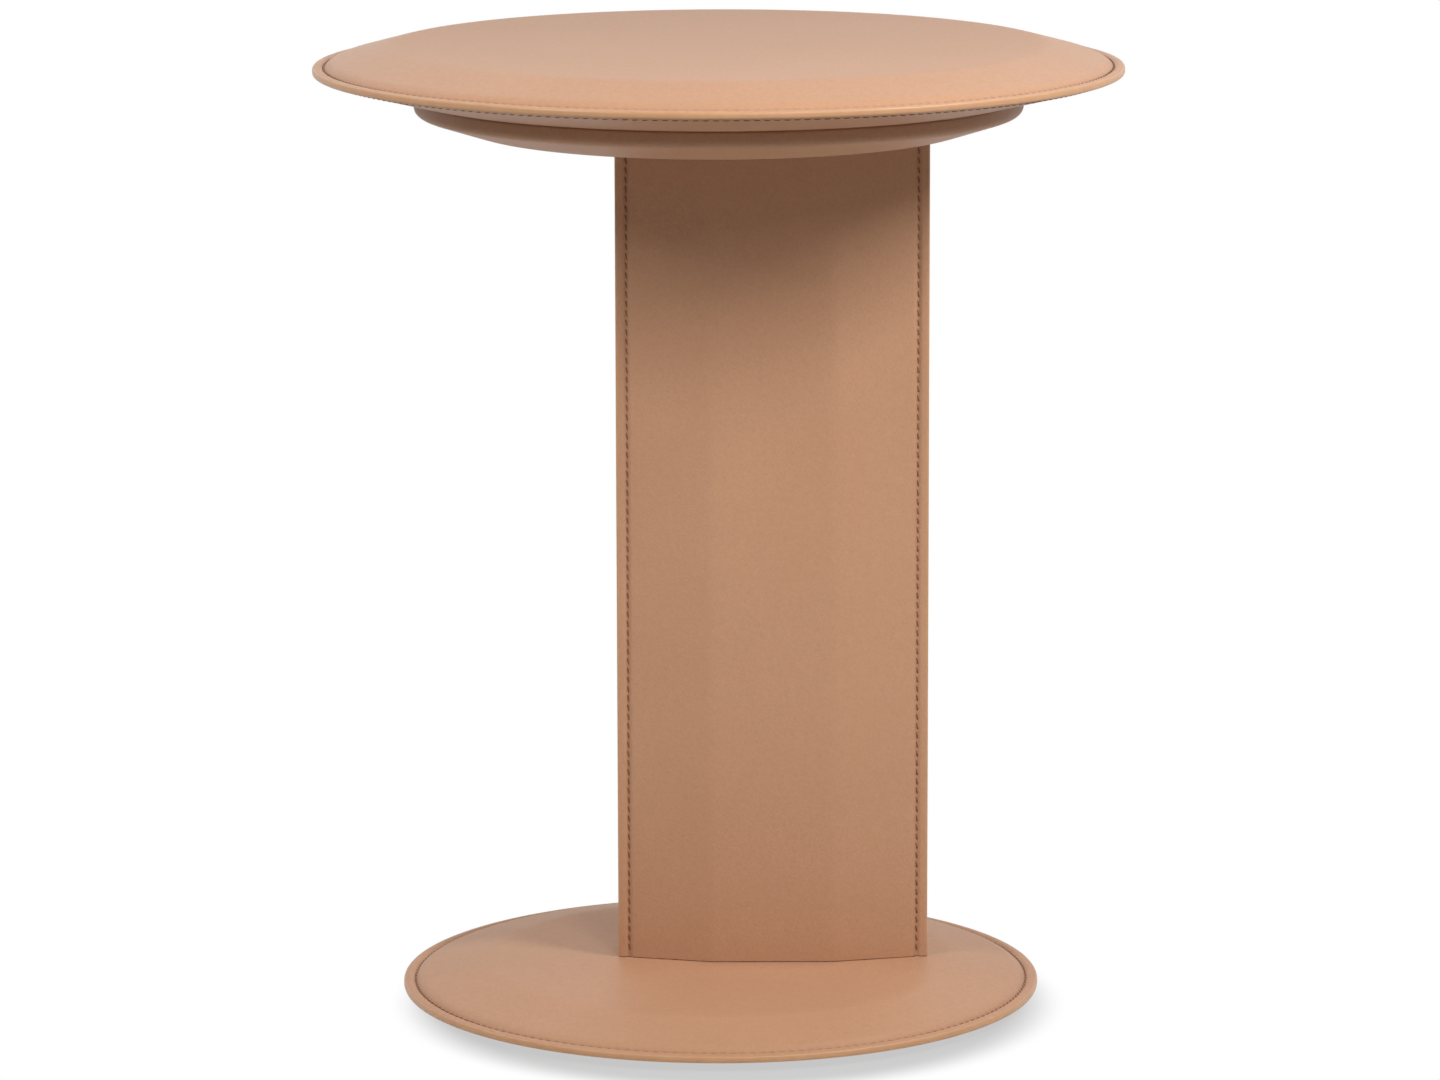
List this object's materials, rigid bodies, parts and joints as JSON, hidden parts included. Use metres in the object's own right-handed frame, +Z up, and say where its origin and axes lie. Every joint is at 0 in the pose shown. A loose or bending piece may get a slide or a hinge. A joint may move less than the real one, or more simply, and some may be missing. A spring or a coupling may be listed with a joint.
{
  "type": "leather covered side table",
  "caption": "Round side table in stitched saddle leather: bevelled disc top on a shallow dish, flat faceted off-centre column and a weighted bevelled disc base.",
  "frame": {"origin": "on the floor, on the common axis of the round top and the round base", "axes": "+Z up; the pictured front, one broad face of the column, faces -Y; +X to the right in the picture, towards which the column is offset"},
  "size_m": [0.5, 0.5, 0.6],
  "materials": {
    "saddle_leather": "smooth tan saddle leather with a fine grain and a soft satin sheen",
    "wood_board": "raw machined fibreboard",
    "pad_foam": "thin dense upholstery foam",
    "bonded_leather_board": "bonded leather board, skived",
    "black_steel": "black powder coat",
    "zinc_plated_steel": "bright zinc plate",
    "black_fibreboard": "black hard fibre sheet",
    "glide_plastic": "black moulded polyethylene",
    "seam_thread": "waxed brown polyester thread",
    "edge_paint": "warm tan edge paint on cut leather"
  },
  "bodies": {
    "root": {"top_cover_leather": "saddle_leather", "top_underside_leather": "saddle_leather", "dish_cover_leather": "saddle_leather", "column_cover_front": "saddle_leather", "column_cover_back": "saddle_leather", "base_cover_leather": "saddle_leather", "base_underside_leather": "saddle_leather", "top_board": "wood_board", "dish_board": "wood_board", "base_board": "wood_board", "column_fairing_front": "wood_board", "column_fairing_back": "wood_board", "top_foam_pad": "pad_foam", "base_foam_pad": "pad_foam", "top_rim_former": "bonded_leather_board", "base_rim_former": "bonded_leather_board", "column_edge_strip_left": "bonded_leather_board", "column_edge_strip_right": "bonded_leather_board", "head_plate": "black_steel", "column_post_left": "black_steel", "column_post_right": "black_steel", "post_plug_left": "black_steel", "post_plug_right": "black_steel", "ballast_plate": "black_steel", "head_screw_1": "zinc_plated_steel", "head_screw_2": "zinc_plated_steel", "head_screw_3": "zinc_plated_steel", "head_screw_4": "zinc_plated_steel", "head_screw_5": "zinc_plated_steel", "head_screw_6": "zinc_plated_steel", "foot_bolt_left": "zinc_plated_steel", "foot_bolt_right": "zinc_plated_steel", "panel_screw_1": "zinc_plated_steel", "panel_screw_2": "zinc_plated_steel", "panel_screw_3": "zinc_plated_steel", "panel_screw_4": "zinc_plated_steel", "panel_screw_5": "zinc_plated_steel", "bottom_panel": "black_fibreboard", "glide_1": "glide_plastic", "glide_2": "glide_plastic", "glide_3": "glide_plastic", "glide_4": "glide_plastic", "glide_5": "glide_plastic"}
  },
  "joints": []
}
